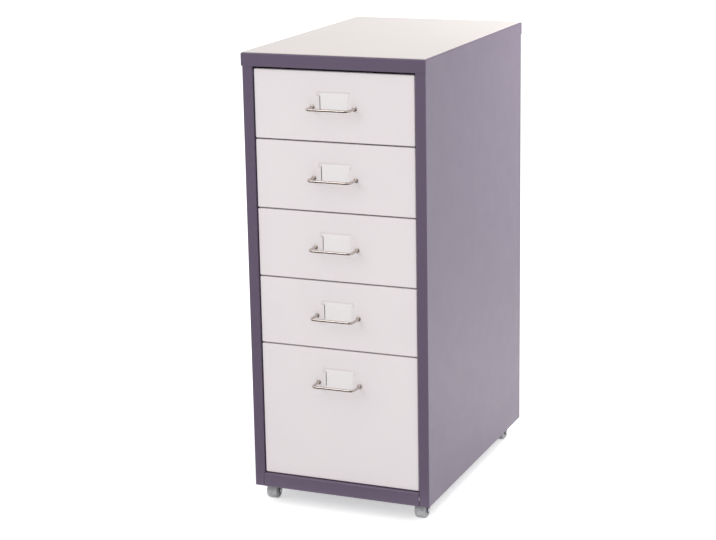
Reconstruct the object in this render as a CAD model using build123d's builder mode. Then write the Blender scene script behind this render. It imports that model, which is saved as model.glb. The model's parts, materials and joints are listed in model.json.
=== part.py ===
from build123d import *
import os
from math import cos, pi, radians, sin, tan

# Small steel drawer cabinet on casters, in millimetres. +Z is up, the drawers open towards -Y,
# and the origin is on the floor in the middle of the whole object's footprint.

# ---------------------------------------------------------------- driving dimensions
cabinet_width = 280.0  # across the top cap
cabinet_depth = 430.0  # front to back of the top cap
body_height = 652.0  # lower edge of the skirt to the top of the top sheet
floor_clearance = 26.0  # floor to the lower edge of the skirt

sheet = 0.8  # steel sheet of every folded panel
bend = 1.6  # outside radius of a fold
seam = 0.2  # gap between two painted sheets that lie side by side

cap_rim = 20.0  # height of the rim that shows round the top
cap_hem = 12.0  # return folded back under the front rim
top_sheet_thickness = 1.0
top_sheet_inset = 1.8  # top sheet edge to the side of the cap

stile_width = 16.5  # side of the cabinet to the inner edge of the front stile
stile_return = 12.0  # depth of the fold behind the stile
rear_flange = 16.0  # fold of a side panel that carries the back panel

base_rail_height = 20.0  # front rail under the bottom drawer
base_rail_depth = 11.0  # hollow of that rail, front to back
base_recess = 12.0  # skirt edge up to the underside of the base panel

small_drawer_count = 4
large_drawer_units = 2  # the bottom drawer is as tall as this many small ones
drawer_gap = 2.0  # between two drawer fronts
drawer_side_gap = 1.5  # front to stile
bottom_gap = 2.0  # bottom drawer to rail
top_gap = 3.6  # top drawer to cap
front_recess = 3.0  # stile face back to drawer face
front_return = 10.0  # depth of the folded edge round a drawer front

tray_length = 400.0  # its open front end to the outside of its rear wall
tray_below_front = 18.0  # side of a tray ends this far below the top of its front
tray_hem = 8.0  # top edge of a tray side, folded down flat against its inside
tray_rear_drop = 10.0  # rear wall lower than the sides
drawer_travel = 300.0
stop_clearance = 0.3  # left between two stops when they meet

runner_web = 18.0  # upright leg of a runner, against the side panel
runner_overlap = 7.0  # ledge reaches this far under the tray
runner_return = 6.0  # ledge edge folded down
running_gap = 0.2  # tray above its ledge
stop_reach = 3.5  # runner stop, out past the ledge edge
tongue_width = 4.0
tongue_drop = 4.5  # tray tongue hangs this far below the tray
tongue_side_gap = 0.7  # tongue to the ledge edge

handle_wire = 4.0  # wire diameter
handle_spacing = 64.5  # leg to leg
handle_reach = 27.0  # drawer face to the outside of the bar
handle_below_top = 51.0  # leg centre below the top of the front
handle_bend = 6.0  # centre line radius of the two corners
handle_collar = 7.0  # diameter of the shoulder on each leg
handle_collar_height = 1.5
handle_tail = 6.0  # threaded end, from the inside of the front
leg_hole_clearance = 0.15
nut_across_flats = 7.0
nut_height = 3.0
nut_bore_clearance = 0.05

holder_width = 51.2  # pressed label bed, wall to wall at the face
holder_height = 33.0
holder_below_top = 28.5  # upper edge below the top of the front
holder_depth = 1.4  # face to bed
holder_draft = 50.0  # slope of the pressed walls, in degrees
lip_width = 4.4  # bridge left at each end of the bed
lip_height = 20.0
lip_slot = 0.9  # how far the punched hole shows past the lip, towards the middle
card_thickness = 0.4
card_margin = 0.3  # card to the edges round it

wheel_diameter = 24.0
wheel_width = 17.0
wheel_edge = 3.0  # chamfer of the tread
wheel_bore_clearance = 0.08
axle_diameter = 4.0
axle_head_diameter = 6.4
axle_head_height = 1.0
axle_hole_clearance = 0.05
fork_sheet = 1.2
fork_side_gap = 0.4  # wheel to fork cheek
fork_crown_diameter = 26.0
fork_cheek_foot = 4.5  # radius round the axle
fork_cheek_top = 16.0  # width where a cheek leaves the crown
caster_trail = 8.0  # swivel axis to axle, level
caster_plate_size = 34.0
caster_plate_corner = 4.0
caster_plate_thickness = 1.5
caster_hole_pitch = 25.0
race_diameter = 18.0
race_height = 2.4
race_gap = 0.3  # plate race above the fork crown
kingpin_diameter = 6.0
kingpin_clearance = 0.08
kingpin_head_diameter = 10.0
kingpin_head_height = 1.2
caster_from_side = 21.0  # swivel axis in from the cabinet's side
caster_from_front = 33.0  # swivel axis behind the front of the cap
caster_from_back = 33.0

screw_diameter = 4.0
screw_head_diameter = 7.6
screw_head_height = 2.0
screw_shank = 6.0
screw_hole_clearance = 0.2
back_screw_count = 3  # on each side
back_screw_from_end = 60.0

# Round sections repeat many times, so they are drawn with this many flats
screw_flat_count = 8
pin_flat_count = 12
crown_flat_count = 24
wheel_flat_count = 36
bend_step_count = 4  # straight steps in each corner of a handle

# ---------------------------------------------------------------- places worked out from them
skirt_z = floor_clearance
top_z = skirt_z + body_height
cap_top_z = top_z - top_sheet_thickness
cap_bottom_z = top_z - cap_rim

drawer_set_back = sheet + seam + front_recess  # cap front back to drawer face
handle_stand_out = handle_reach - drawer_set_back  # bar beyond the cap's front
screw_stand_out = screw_head_height - sheet - seam  # back screws beyond the cap's back
front_y = (handle_stand_out - cabinet_depth - screw_stand_out) / 2
back_y = front_y + cabinet_depth
middle_y = (front_y + back_y) / 2
stile_y = front_y + sheet + seam
drawer_y = front_y + drawer_set_back

half_width = cabinet_width / 2
side_outer = half_width - sheet - seam
side_inner = side_outer - sheet
stile_inner = half_width - stile_width
back_panel_y = back_y - sheet - seam  # outside of the back panel
side_rear_y = back_panel_y - sheet  # outside of the side panels' rear flanges
side_top_z = cap_top_z - bend

rail_top_z = skirt_z + base_rail_height
base_z = skirt_z + base_recess  # underside of the base panel
base_front_y = stile_y + stile_return + seam
base_rear_y = side_rear_y - bend
rail_half = stile_inner - seam

front_half = stile_inner - drawer_side_gap
drawers_bottom_z = rail_top_z + bottom_gap
drawers_top_z = cap_bottom_z - top_gap
drawer_pitch = (drawers_top_z - drawers_bottom_z + drawer_gap) / (small_drawer_count + large_drawer_units)

tray_half = front_half - sheet - seam
tray_front_y = drawer_y + bend
tray_rear_y = tray_front_y + tray_length
tongue_y = tray_rear_y - sheet  # front face of the tongue
ledge_inner = tray_half - runner_overlap
lowest_ledge_z = drawers_bottom_z + sheet - running_gap
base_flange = lowest_ledge_z - sheet - seam - base_z  # upturned edges end under the lowest runners
runner_front_y = drawer_y + front_return + stop_clearance
runner_rear_y = min(base_rear_y - sheet, back_panel_y - screw_shank) - seam
stop_y = tongue_y - drawer_travel - stop_clearance  # rear face of the runner stop

axle_z = wheel_diameter / 2
crown_top_z = base_z - caster_plate_thickness - race_height - race_gap
crown_bottom_z = crown_top_z - fork_sheet
cheek_inner = wheel_width / 2 + fork_side_gap
cheek_outer = cheek_inner + fork_sheet
caster_x = half_width - caster_from_side
caster_places = {
    "front_left": (-caster_x, front_y + caster_from_front),
    "front_right": (caster_x, front_y + caster_from_front),
    "rear_left": (-caster_x, back_y - caster_from_back),
    "rear_right": (caster_x, back_y - caster_from_back),
}

os.makedirs("parts", exist_ok=True)


def save(piece, name):
    """Label a finished piece and write it under the same name."""
    piece.label = name
    export_step(piece, f"parts/{name}.step")


def round_bar(radius, flats=pin_flat_count):
    """Sketch a round section with its corners on the circle."""
    RegularPolygon(radius, flats)


def round_hole(radius, flats=pin_flat_count, mode=Mode.ADD):
    """Sketch a round hole with its flats on the circle, so that it clears a bar all round."""
    RegularPolygon(radius, flats, major_radius=False, mode=mode)


def drawer_rows():
    """Yield (number, bottom of the front, top of the front), from the top drawer down."""
    for number in range(1, small_drawer_count + 1):
        top = drawers_top_z - (number - 1) * drawer_pitch
        yield number, top + drawer_gap - drawer_pitch, top
    large_height = large_drawer_units * drawer_pitch - drawer_gap
    yield small_drawer_count + 1, drawers_bottom_z, drawers_bottom_z + large_height


# ---------------------------------------------------------------- carcass
back_screw_x = side_inner - rear_flange / 2
back_screw_rise = (body_height - 2 * back_screw_from_end) / (back_screw_count - 1)
back_screw_heights = [
    skirt_z + back_screw_from_end + step * back_screw_rise for step in range(back_screw_count)
]
back_screw_places = [(side * back_screw_x, z) for side in (-1, 1) for z in back_screw_heights]
screw_hole_radius = screw_diameter / 2 + screw_hole_clearance

with BuildPart() as top_cap:
    # A shallow pan turned over the carcass, folded from one sheet
    with BuildSketch(Plane.XY.offset(cap_bottom_z)):
        with Locations((0, middle_y)):
            Rectangle(cabinet_width, cabinet_depth)
    extrude(amount=cap_top_z - cap_bottom_z)
    fillet(top_cap.faces().sort_by(Axis.Z)[-1].edges(), bend)
    offset(amount=-sheet, openings=top_cap.faces().sort_by(Axis.Z)[0])
    # The front rim turns back between the stiles and forms the top of the drawer opening
    with BuildSketch(Plane.XY.offset(cap_bottom_z)):
        with Locations((0, front_y + sheet / 2)):
            Rectangle(2 * rail_half, cap_hem, align=(Align.CENTER, Align.MIN))
    extrude(amount=sheet)
save(top_cap.part, "top_cap")

with BuildPart() as top_sheet:
    with BuildSketch(Plane.XY.offset(cap_top_z)):
        with Locations((0, middle_y)):
            Rectangle(cabinet_width - 2 * top_sheet_inset, cabinet_depth - 2 * top_sheet_inset)
    extrude(amount=top_sheet_thickness)
    chamfer(top_sheet.faces().sort_by(Axis.Z)[-1].edges(), top_sheet_thickness / 3)
save(top_sheet.part, "top_sheet")

with BuildPart() as right_side_panel:
    # Plan section: return, stile, side, rear flange, drawn along the outside of the sheet
    with BuildSketch(Plane.XY.offset(skirt_z)):
        with BuildLine():
            FilletPolyline(
                (stile_inner, stile_y + stile_return),
                (stile_inner, stile_y),
                (side_outer, stile_y),
                (side_outer, side_rear_y),
                (side_outer - rear_flange, side_rear_y),
                radius=bend,
            )
            offset(amount=sheet, side=Side.LEFT)
        make_face()
    extrude(amount=side_top_z - skirt_z)
    with BuildSketch(Plane.XZ.offset(-side_rear_y)):
        with Locations(*[(back_screw_x, z) for z in back_screw_heights]):
            round_hole(screw_hole_radius, screw_flat_count)
    extrude(amount=2 * sheet, mode=Mode.SUBTRACT)
save(right_side_panel.part, "right_side_panel")

with BuildPart() as left_side_panel:
    mirror(right_side_panel.part, about=Plane.YZ)
save(left_side_panel.part, "left_side_panel")

with BuildPart() as back_panel:
    with BuildSketch(Plane.XZ.offset(-back_panel_y)):
        with Locations((0, skirt_z)):
            Rectangle(2 * side_outer, side_top_z - skirt_z, align=(Align.CENTER, Align.MIN))
        with Locations(*back_screw_places):
            round_hole(screw_hole_radius, screw_flat_count, mode=Mode.SUBTRACT)
    extrude(amount=sheet)
save(back_panel.part, "back_panel")

with BuildPart() as base_panel:
    # Floor with its two side flanges, one folded channel that runs front to back
    with BuildSketch(Plane.XZ.offset(-base_front_y)):
        with BuildLine():
            FilletPolyline(
                (-side_inner, base_z + base_flange),
                (-side_inner, base_z),
                (side_inner, base_z),
                (side_inner, base_z + base_flange),
                radius=bend,
            )
            offset(amount=sheet, side=Side.LEFT)
        make_face()
    extrude(amount=base_front_y - base_rear_y)
    # Hollow front rail, folded up from the floor and down again between the stiles
    with BuildSketch(Plane.YZ):
        with BuildLine():
            FilletPolyline(
                (base_front_y + bend, base_z + sheet),
                (stile_y + base_rail_depth, base_z + sheet),
                (stile_y + base_rail_depth, rail_top_z),
                (stile_y, rail_top_z),
                (stile_y, skirt_z),
                (stile_y + base_rail_depth / 2, skirt_z),
                radius=bend,
            )
            offset(amount=sheet, side=Side.LEFT)
        make_face()
    extrude(amount=rail_half, both=True)
    # Rear flange, folded up like the sides
    with BuildSketch(Plane.XZ.offset(-base_rear_y)):
        with Locations((0, base_z)):
            Rectangle(2 * (side_inner - bend), base_flange, align=(Align.CENTER, Align.MIN))
    extrude(amount=sheet)
    for caster_place in caster_places.values():
        with BuildSketch(Plane.XY.offset(base_z)):
            with Locations(caster_place):
                with GridLocations(caster_hole_pitch, caster_hole_pitch, 2, 2):
                    round_hole(screw_hole_radius, screw_flat_count)
        extrude(amount=sheet, mode=Mode.SUBTRACT)
save(base_panel.part, "base_panel")


# ---------------------------------------------------------------- runners
def make_right_runner(ledge_z):
    """Angle runner: web on the side panel, ledge under the tray, lip down, stop tab on the lip."""
    with BuildPart() as runner:
        with BuildSketch(Plane.XZ.offset(-runner_front_y)):
            with BuildLine():
                Polyline(
                    (side_inner - sheet, ledge_z + runner_web),
                    (side_inner - sheet, ledge_z),
                    (ledge_inner, ledge_z),
                    (ledge_inner, ledge_z - runner_return),
                )
                offset(amount=sheet, side=Side.LEFT, kind=Kind.INTERSECTION)
            make_face()
        extrude(amount=runner_front_y - runner_rear_y)
        with BuildSketch(Plane.XZ.offset(-stop_y)):
            with Locations((ledge_inner + sheet / 2, ledge_z - runner_return)):
                Rectangle(stop_reach + sheet / 2, runner_return - bend, align=(Align.MAX, Align.MIN))
        extrude(amount=sheet)
    return runner.part


def make_left_runner(right_runner):
    """The same runner, turned over for the other side."""
    with BuildPart() as runner:
        mirror(right_runner, about=Plane.YZ)
    return runner.part


# ---------------------------------------------------------------- drawers
def make_drawer_front(bottom_z, top):
    """Folded pan that shows at the front, with its pressed label holder and two handle holes."""
    height = top - bottom_z
    holder_z = top - holder_below_top - holder_height / 2
    face = Plane.XZ.offset(-drawer_y)
    with BuildPart() as front:
        with BuildSketch(face):
            with Locations((0, bottom_z + height / 2)):
                Rectangle(2 * front_half, height)
        extrude(amount=-front_return)
        fillet(front.faces().sort_by(Axis.Y)[0].edges(), bend)
        offset(amount=-sheet, openings=front.faces().sort_by(Axis.Y)[-1])
        # Metal behind the pressed bed
        with BuildSketch(Plane.XZ.offset(-(drawer_y + sheet))):
            with Locations((0, holder_z)):
                Rectangle(holder_width + 2 * sheet, holder_height + 2 * sheet)
        extrude(amount=-holder_depth, taper=holder_draft)
        # The bed, with sloping walls
        with BuildSketch(face):
            with Locations((0, holder_z)):
                Rectangle(holder_width, holder_height)
        extrude(amount=-holder_depth, taper=holder_draft, mode=Mode.SUBTRACT)
        # Punched holes at both ends of the bed
        with BuildSketch(face):
            with Locations((0, holder_z)):
                with GridLocations(holder_width - lip_width - lip_slot, 0, 2, 1):
                    Rectangle(lip_width + lip_slot, lip_height)
        extrude(amount=-(sheet + holder_depth), mode=Mode.SUBTRACT)
        # Lips that bridge those holes at the level of the face and hold the card's ends
        with BuildSketch(face):
            with Locations((0, holder_z)):
                with GridLocations(holder_width - lip_width, 0, 2, 1):
                    Rectangle(lip_width, lip_height)
        extrude(amount=-sheet)
        with BuildSketch(face):
            with Locations((0, top - handle_below_top)):
                with GridLocations(handle_spacing, 0, 2, 1):
                    round_hole(handle_wire / 2 + leg_hole_clearance)
        extrude(amount=-sheet, mode=Mode.SUBTRACT)
    return front.part


def make_drawer_tray(bottom_z, top):
    """Tray folded from one sheet, carried in the front's lower fold, with a tongue at each rear corner."""
    floor_z = bottom_z + sheet
    side_top = top - tray_below_front
    tongue_x = ledge_inner - tongue_side_gap - tongue_width / 2
    with BuildPart() as tray:
        with BuildSketch(Plane.XZ.offset(-tray_front_y)):
            with BuildLine():
                Polyline(
                    (-tray_half, side_top),
                    (-tray_half, floor_z),
                    (tray_half, floor_z),
                    (tray_half, side_top),
                )
                offset(amount=sheet, side=Side.LEFT, kind=Kind.INTERSECTION)
            make_face()
            with Locations((0, side_top)):
                with GridLocations(2 * tray_half - 3 * sheet, 0, 2, 1):
                    Rectangle(sheet, tray_hem, align=(Align.CENTER, Align.MAX))
        extrude(amount=-tray_length)
        rear_height = side_top - tray_rear_drop - floor_z
        with BuildSketch(Plane.XZ.offset(-tray_rear_y)):
            with Locations((0, floor_z)):
                Rectangle(2 * tray_half, rear_height, align=(Align.CENTER, Align.MIN))
                with GridLocations(2 * tongue_x, 0, 2, 1):
                    Rectangle(tongue_width, tongue_drop, align=(Align.CENTER, Align.MAX))
        extrude(amount=sheet)
    return tray.part


def make_handle(top):
    """Bent wire pull: two legs with shoulders, one straight bar, tails through the front."""
    leg_z = top - handle_below_top
    bar_y = drawer_y - handle_reach + handle_wire / 2
    tail_y = drawer_y + sheet + handle_tail
    half_spacing = handle_spacing / 2
    turns = [step * pi / 2 / bend_step_count for step in range(bend_step_count + 1)]
    corner = [
        (half_spacing + handle_bend * (cos(turn) - 1), bar_y + handle_bend * (1 - sin(turn)))
        for turn in turns
    ]
    right_half = [(half_spacing, tail_y), *corner]
    left_half = [(-x, y) for x, y in reversed(right_half)]
    with BuildPart() as handle:
        with BuildLine(Plane.XY.offset(leg_z)):
            Polyline(*right_half, *left_half)
        with BuildSketch(Plane(origin=(half_spacing, tail_y, leg_z), z_dir=(0, -1, 0))):
            round_bar(handle_wire / 2)
        sweep(transition=Transition.RIGHT)
        with BuildSketch(Plane.XZ.offset(-drawer_y)):
            with Locations((0, leg_z)):
                with GridLocations(handle_spacing, 0, 2, 1):
                    round_bar(handle_collar / 2)
        extrude(amount=handle_collar_height)
    return handle.part


def make_handle_nuts(top):
    """The two hexagon nuts on a handle's tails."""
    with BuildPart() as nuts:
        with BuildSketch(Plane.XZ.offset(-(drawer_y + sheet))):
            with Locations((0, top - handle_below_top)):
                with GridLocations(handle_spacing, 0, 2, 1):
                    RegularPolygon(nut_across_flats / 2, 6, major_radius=False)
                    round_hole(handle_wire / 2 + nut_bore_clearance, mode=Mode.SUBTRACT)
        extrude(amount=-nut_height)
    return nuts.part


def make_label_card(top):
    """Blank card on the bed, its right end under the lip and its left end clear of the punched hole."""
    holder_z = top - holder_below_top - holder_height / 2
    bed_edge = holder_depth * tan(radians(holder_draft)) + card_margin
    card_left = lip_width + lip_slot + card_margin - holder_width / 2
    card_right = holder_width / 2 - bed_edge
    with BuildPart() as card:
        with BuildSketch(Plane.XZ.offset(-(drawer_y + holder_depth))):
            with Locations((card_left, holder_z)):
                Rectangle(
                    card_right - card_left, holder_height - 2 * bed_edge, align=(Align.MIN, Align.CENTER)
                )
        extrude(amount=card_thickness)
    return card.part


for number, bottom_z, top in drawer_rows():
    right_runner = make_right_runner(bottom_z + sheet - running_gap)
    save(right_runner, f"right_runner_{number}")
    save(make_left_runner(right_runner), f"left_runner_{number}")
    save(make_drawer_front(bottom_z, top), f"drawer_front_{number}")
    save(make_drawer_tray(bottom_z, top), f"drawer_tray_{number}")
    save(make_handle(top), f"handle_{number}")
    save(make_handle_nuts(top), f"handle_nuts_{number}")
    save(make_label_card(top), f"label_card_{number}")


# ---------------------------------------------------------------- casters
def make_caster_plate(place):
    """Mounting plate with its pressed race and the riveted kingpin."""
    plate_z = base_z - caster_plate_thickness
    pin_end_z = crown_bottom_z - race_gap
    with BuildPart() as plate:
        with BuildSketch(Plane.XY.offset(plate_z)) as outline:
            with Locations(place):
                Rectangle(caster_plate_size, caster_plate_size)
                chamfer(outline.vertices(), caster_plate_corner)
                with GridLocations(caster_hole_pitch, caster_hole_pitch, 2, 2):
                    round_hole(screw_hole_radius, screw_flat_count, mode=Mode.SUBTRACT)
        extrude(amount=caster_plate_thickness)
        with BuildSketch(Plane.XY.offset(plate_z)):
            with Locations(place):
                round_bar(race_diameter / 2, crown_flat_count)
        extrude(amount=-race_height)
        with BuildSketch(Plane.XY.offset(plate_z)):
            with Locations(place):
                round_bar(kingpin_diameter / 2)
        extrude(amount=pin_end_z - plate_z)
        with BuildSketch(Plane.XY.offset(pin_end_z)):
            with Locations(place):
                round_bar(kingpin_head_diameter / 2)
        extrude(amount=-kingpin_head_height)
    return plate.part


def make_caster_fork(place):
    """Pressed fork: round crown under the plate and two cheeks that narrow to the axle."""
    x, y = place
    axle_y = y - caster_trail
    with BuildPart() as fork:
        with BuildSketch(Plane.XY.offset(crown_bottom_z)):
            with Locations(place):
                round_bar(fork_crown_diameter / 2, crown_flat_count)
                round_hole(kingpin_diameter / 2 + kingpin_clearance, mode=Mode.SUBTRACT)
        extrude(amount=fork_sheet)
        for cheek_x in (x + cheek_inner, x - cheek_outer):
            with BuildSketch(Plane.YZ.offset(cheek_x)):
                with Locations((axle_y, axle_z)):
                    round_bar(fork_cheek_foot)
                with Locations((y, crown_bottom_z)):
                    Rectangle(fork_cheek_top, fork_sheet, align=(Align.CENTER, Align.MIN))
                make_hull()
                with Locations((axle_y, axle_z)):
                    round_hole(axle_diameter / 2 + axle_hole_clearance, mode=Mode.SUBTRACT)
            extrude(amount=fork_sheet)
    return fork.part


def make_caster_wheel(place):
    """Solid wheel with a chamfered tread."""
    x, y = place
    with BuildPart() as wheel:
        with BuildSketch(Plane.YZ.offset(x)):
            with Locations((y - caster_trail, axle_z)):
                round_bar(wheel_diameter / 2, wheel_flat_count)
        extrude(amount=wheel_width / 2, both=True)
        chamfer(wheel.faces().filter_by(Axis.X).edges(), wheel_edge)
        with BuildSketch(Plane.YZ.offset(x)):
            with Locations((y - caster_trail, axle_z)):
                round_hole(axle_diameter / 2 + wheel_bore_clearance)
        extrude(amount=wheel_width / 2, both=True, mode=Mode.SUBTRACT)
    return wheel.part


def make_caster_axle(place):
    """Rivet through the fork and the wheel, with a head against each cheek."""
    x, y = place
    with BuildPart() as axle:
        with BuildSketch(Plane.YZ.offset(x)):
            with Locations((y - caster_trail, axle_z)):
                round_bar(axle_diameter / 2)
        extrude(amount=cheek_outer, both=True)
        for head_x, outwards in ((x + cheek_outer, 1), (x - cheek_outer, -1)):
            with BuildSketch(Plane.YZ.offset(head_x)):
                with Locations((y - caster_trail, axle_z)):
                    round_bar(axle_head_diameter / 2)
            extrude(amount=outwards * axle_head_height)
    return axle.part


for corner, place in caster_places.items():
    save(make_caster_plate(place), f"caster_plate_{corner}")
    save(make_caster_fork(place), f"caster_fork_{corner}")
    save(make_caster_wheel(place), f"caster_wheel_{corner}")
    save(make_caster_axle(place), f"caster_axle_{corner}")


# ---------------------------------------------------------------- screws
def make_screws(seat, places):
    """Pan screws at places on a seat plane, heads behind the plane and shanks in front of it."""
    with BuildPart() as screws:
        with BuildSketch(seat):
            with Locations(*places):
                round_bar(screw_head_diameter / 2, screw_flat_count)
        extrude(amount=-screw_head_height)
        with BuildSketch(seat):
            with Locations(*places):
                round_bar(screw_diameter / 2, screw_flat_count)
        extrude(amount=screw_shank)
    return screws.part


caster_screw_places = [
    (x + step_x * caster_hole_pitch / 2, y + step_y * caster_hole_pitch / 2)
    for x, y in caster_places.values()
    for step_x in (-1, 1)
    for step_y in (-1, 1)
]
caster_seat = Plane.XY.offset(base_z - caster_plate_thickness)
back_seat = Plane.XZ.offset(-back_panel_y)
save(make_screws(caster_seat, caster_screw_places), "caster_screws")
save(make_screws(back_seat, back_screw_places), "panel_screws")
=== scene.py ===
import json
import math

import bmesh
import bpy
from mathutils import Matrix, Vector


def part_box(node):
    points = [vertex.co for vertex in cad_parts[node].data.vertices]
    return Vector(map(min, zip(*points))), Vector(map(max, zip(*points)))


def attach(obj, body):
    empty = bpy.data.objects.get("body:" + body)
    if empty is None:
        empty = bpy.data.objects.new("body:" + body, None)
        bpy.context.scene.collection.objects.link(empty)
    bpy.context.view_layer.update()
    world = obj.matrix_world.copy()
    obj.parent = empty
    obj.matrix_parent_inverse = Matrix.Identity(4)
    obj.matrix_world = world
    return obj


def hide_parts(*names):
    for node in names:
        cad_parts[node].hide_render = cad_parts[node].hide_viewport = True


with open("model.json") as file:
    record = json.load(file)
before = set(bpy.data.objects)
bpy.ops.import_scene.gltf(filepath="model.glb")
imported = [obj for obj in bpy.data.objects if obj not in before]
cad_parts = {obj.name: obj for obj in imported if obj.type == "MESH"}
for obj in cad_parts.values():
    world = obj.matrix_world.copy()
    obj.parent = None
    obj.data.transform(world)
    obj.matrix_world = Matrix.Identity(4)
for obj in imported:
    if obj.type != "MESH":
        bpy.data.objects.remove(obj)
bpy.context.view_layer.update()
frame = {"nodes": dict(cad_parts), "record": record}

# Small steel drawer cabinet on casters, in metres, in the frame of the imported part:
# +Z is up, the drawers open towards -Y, and the origin is on the floor under the middle.

MM = 0.001
DRAWERS = range(1, 6)
CORNERS = ("front_left", "front_right", "rear_left", "rear_right")


# ---------------------------------------------------------------- camera
# Found by matching the corners of the body to the photograph
CAMERA_PLACE = Vector((1.0362, -2.5974, 1.0402))
CAMERA_YAW = math.radians(22.71)
CAMERA_PITCH = math.radians(14.42)
CAMERA_ROLL = math.radians(-1.05)
CAMERA_LENS = 94.75  # in mm, as the sensor's width is
SENSOR_WIDTH = 36


def make_camera():
    """Camera at the photograph's place: it looks along +Y, turned left, tipped down and rolled."""
    data = bpy.data.cameras.new("camera")
    data.sensor_width = SENSOR_WIDTH
    data.lens = CAMERA_LENS
    camera = bpy.data.objects.new("camera", data)
    turn = Matrix.Rotation(CAMERA_YAW, 4, "Z")
    tip = Matrix.Rotation(math.pi / 2 - CAMERA_PITCH, 4, "X")
    roll = Matrix.Rotation(CAMERA_ROLL, 4, "Z")
    camera.matrix_world = Matrix.Translation(CAMERA_PLACE) @ turn @ tip @ roll
    bpy.context.scene.collection.objects.link(camera)
    bpy.context.scene.camera = camera


# ---------------------------------------------------------------- light
WORLD_LIGHT = 0.92
WORLD_TINT = (1, 0.99, 0.985, 1)
KEY_PLACE = Vector((-0.85, -2.15, 1.6))
KEY_AIM = Vector((0, 0, 0.35))
KEY_SIZE = 1.1  # diameter of a round soft box
KEY_POWER = 8.2
SIDE_PLACE = Vector((0.56, 0.52, 0.85))
SIDE_AIM = Vector((0.14, 0.15, 0.35))
SIDE_SIZE = (0.3, 0.6)  # sides of a square-cut one
SIDE_POWER = 4.2


def seen_directly(tree):
    """1 for the rays that show a background: straight from the camera, mirrored or through glass."""
    path = tree.nodes.new("ShaderNodeLightPath")
    found = path.outputs["Is Camera Ray"]
    for kind in ("Is Glossy Ray", "Is Transmission Ray"):
        either = tree.nodes.new("ShaderNodeMath")
        either.operation = "MAXIMUM"
        tree.links.new(found, either.inputs[0])
        tree.links.new(path.outputs[kind], either.inputs[1])
        found = either.outputs[0]
    return found


def make_world():
    """Even white studio light, plain white where the camera sees it."""
    world = bpy.data.worlds.new("studio")
    bpy.context.scene.world = world
    world.use_nodes = True
    nodes = world.node_tree.nodes
    links = world.node_tree.links
    light = nodes["Background"]
    light.inputs["Color"].default_value = WORLD_TINT
    light.inputs["Strength"].default_value = WORLD_LIGHT
    seen = nodes.new("ShaderNodeBackground")
    seen.inputs["Color"].default_value = (1, 1, 1, 1)
    seen.inputs["Strength"].default_value = 1
    choose = nodes.new("ShaderNodeMixShader")
    links.new(seen_directly(world.node_tree), choose.inputs["Fac"])
    links.new(light.outputs[0], choose.inputs[1])
    links.new(seen.outputs[0], choose.inputs[2])
    links.new(choose.outputs[0], nodes["World Output"].inputs["Surface"])


def make_lamp(name, place, aim, size, power, mirrored=True):
    """Soft box, round or of two sides, that the camera doesn't see, nor a mirror unless mirrored."""
    data = bpy.data.lights.new(name, "AREA")
    if isinstance(size, tuple):
        data.shape = "RECTANGLE"
        data.size, data.size_y = size
    else:
        data.shape = "DISK"
        data.size = size
    data.energy = power
    lamp = bpy.data.objects.new(name, data)
    lamp.location = place
    lamp.rotation_euler = (aim - place).to_track_quat("-Z", "Y").to_euler()
    lamp.visible_camera = False
    lamp.visible_glossy = mirrored
    bpy.context.scene.collection.objects.link(lamp)


# ---------------------------------------------------------------- materials
def start_material(name, color, roughness, metallic=0.0):
    """A node material with its constants set on the shader itself."""
    material = bpy.data.materials.new(name)
    material.use_nodes = True
    shader = material.node_tree.nodes["Principled BSDF"]
    shader.inputs["Base Color"].default_value = (*color, 1)
    shader.inputs["Roughness"].default_value = roughness
    shader.inputs["Metallic"].default_value = metallic
    return material, shader


def srgb(red, green, blue):
    """Linear colour for a colour written in the usual 0 to 255 levels."""
    levels = [level / 255 for level in (red, green, blue)]
    return tuple(v / 12.92 if v <= 0.04045 else ((v + 0.055) / 1.055) ** 2.4 for v in levels)


def place_texture(material, stretch=(1, 1, 1)):
    """Texture place fixed to the object, in metres, stretched along its axes."""
    nodes = material.node_tree.nodes
    links = material.node_tree.links
    place = nodes.new("ShaderNodeTexCoord")
    mapping = nodes.new("ShaderNodeMapping")
    mapping.inputs["Scale"].default_value = stretch
    links.new(place.outputs["Object"], mapping.inputs["Vector"])
    return mapping.outputs["Vector"]


def noise(material, vector, grain, detail=3.0, roughness=0.5):
    """Noise whose grain is a size in metres."""
    nodes = material.node_tree.nodes
    texture = nodes.new("ShaderNodeTexNoise")
    texture.inputs["Scale"].default_value = 1 / grain
    texture.inputs["Detail"].default_value = detail
    texture.inputs["Roughness"].default_value = roughness
    material.node_tree.links.new(vector, texture.inputs["Vector"])
    return texture.outputs["Fac"]


def spread(material, value, low, high, start=0.3, end=0.7):
    """Map a noise from its usual span to low..high."""
    node = material.node_tree.nodes.new("ShaderNodeMapRange")
    node.inputs["From Min"].default_value = start
    node.inputs["From Max"].default_value = end
    node.inputs["To Min"].default_value = low
    node.inputs["To Max"].default_value = high
    material.node_tree.links.new(value, node.inputs["Value"])
    return node.outputs["Result"]


def mix_colors(material, factor, first, second):
    """Colour between two colours or sockets."""
    node = material.node_tree.nodes.new("ShaderNodeMix")
    node.data_type = "RGBA"
    links = material.node_tree.links
    links.new(factor, node.inputs["Factor"])
    for color, socket in ((first, node.inputs["A"]), (second, node.inputs["B"])):
        if isinstance(color, tuple):
            socket.default_value = (*color, 1)
        else:
            links.new(color, socket)
    return node.outputs["Result"]


def multiply(material, first, second):
    """Product of two values."""
    node = material.node_tree.nodes.new("ShaderNodeMath")
    node.operation = "MULTIPLY"
    material.node_tree.links.new(first, node.inputs[0])
    material.node_tree.links.new(second, node.inputs[1])
    return node.outputs[0]


BUMP_STRENGTH = 0.5


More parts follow.
